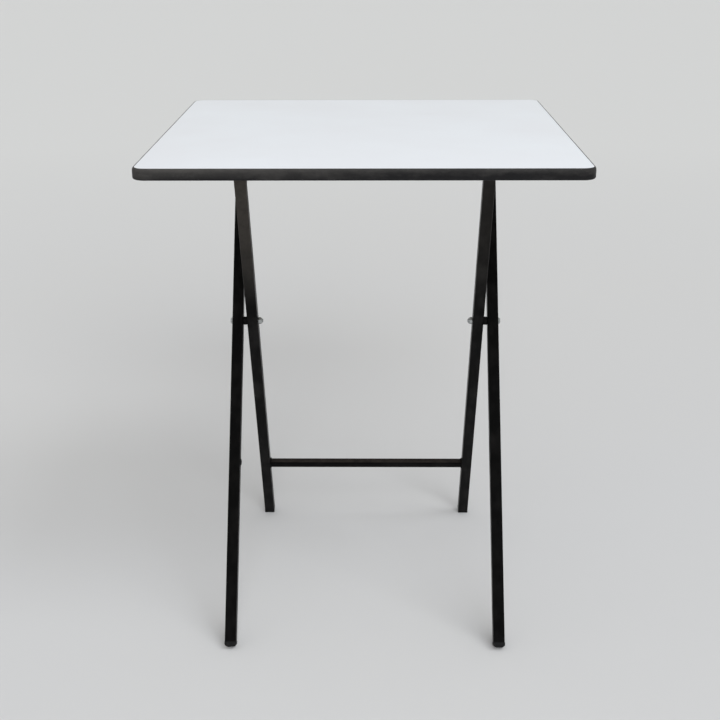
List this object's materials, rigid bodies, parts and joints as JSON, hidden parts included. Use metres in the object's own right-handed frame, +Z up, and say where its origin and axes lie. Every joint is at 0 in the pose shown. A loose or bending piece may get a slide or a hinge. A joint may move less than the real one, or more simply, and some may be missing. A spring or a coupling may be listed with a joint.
{
  "type": "folding desk",
  "caption": "Square laminated desk top with a black edge on crossed square-tube scissor legs that fold about side pivots",
  "frame": {"origin": "on the floor, under the middle of the desk top", "axes": "+X to the user's right, +Y away from the user to the back, +Z up"},
  "size_m": [0.6, 0.6, 0.73],
  "materials": {
    "white_laminate": "fine matt melamine laminate",
    "black_edging": "satin edging, lightly scuffed",
    "core_board": "raw fibre board",
    "backing_sheet": "plain balancing laminate",
    "frame_paint": "satin black stove enamel",
    "cap_plastic": "moulded, fine grain",
    "spacer_plastic": "moulded",
    "fitting_steel": "black passivated pressed steel",
    "zinc": "bright zinc plate"
  },
  "bodies": {
    "outer_frame": {"outer_top_bar": "frame_paint", "leg_plug": "cap_plastic", "outer_leg_left": "frame_paint", "outer_leg_right": "frame_paint", "outer_bar_plug_left": "cap_plastic", "outer_bar_plug_right": "cap_plastic", "outer_foot_cap_left": "cap_plastic", "outer_foot_cap_right": "cap_plastic", "pivot_bolt_left": "zinc", "pivot_bolt_right": "zinc", "pivot_spacer_left": "spacer_plastic", "pivot_spacer_right": "spacer_plastic", "pivot_nut_left": "zinc", "pivot_nut_right": "zinc"},
    "inner_frame": {"inner_top_bar": "frame_paint", "stretcher": "frame_paint", "inner_leg_left": "frame_paint", "inner_leg_right": "frame_paint", "inner_bar_plug_left": "cap_plastic", "inner_bar_plug_right": "cap_plastic", "inner_foot_cap_left": "cap_plastic", "inner_foot_cap_right": "cap_plastic"},
    "desktop": {"top_core": "core_board", "top_laminate": "white_laminate", "backing_laminate": "backing_sheet", "edge_band": "black_edging", "hinge_screws": "zinc", "hook_screws": "zinc", "hinge_saddle_left": "fitting_steel", "hinge_saddle_right": "fitting_steel", "front_hook_left": "fitting_steel", "front_hook_right": "fitting_steel"}
  },
  "joints": [
    {"name": "top_tilt", "type": "hinge", "parent": "outer_frame", "child": "desktop", "pos_m": [0, 0.1467, 0.7062], "axis": [-1, 0, 0], "range_deg": [0, 26.94]},
    {"name": "leg_scissor", "type": "hinge", "parent": "outer_frame", "child": "inner_frame", "pos_m": [0, -0.02275, 0.43117], "axis": [-1, 0, 0], "range_deg": [0, 53.88]}
  ],
  "couplings": [
    {"joint": "leg_scissor", "follows": "top_tilt", "ratio": 2}
  ]
}
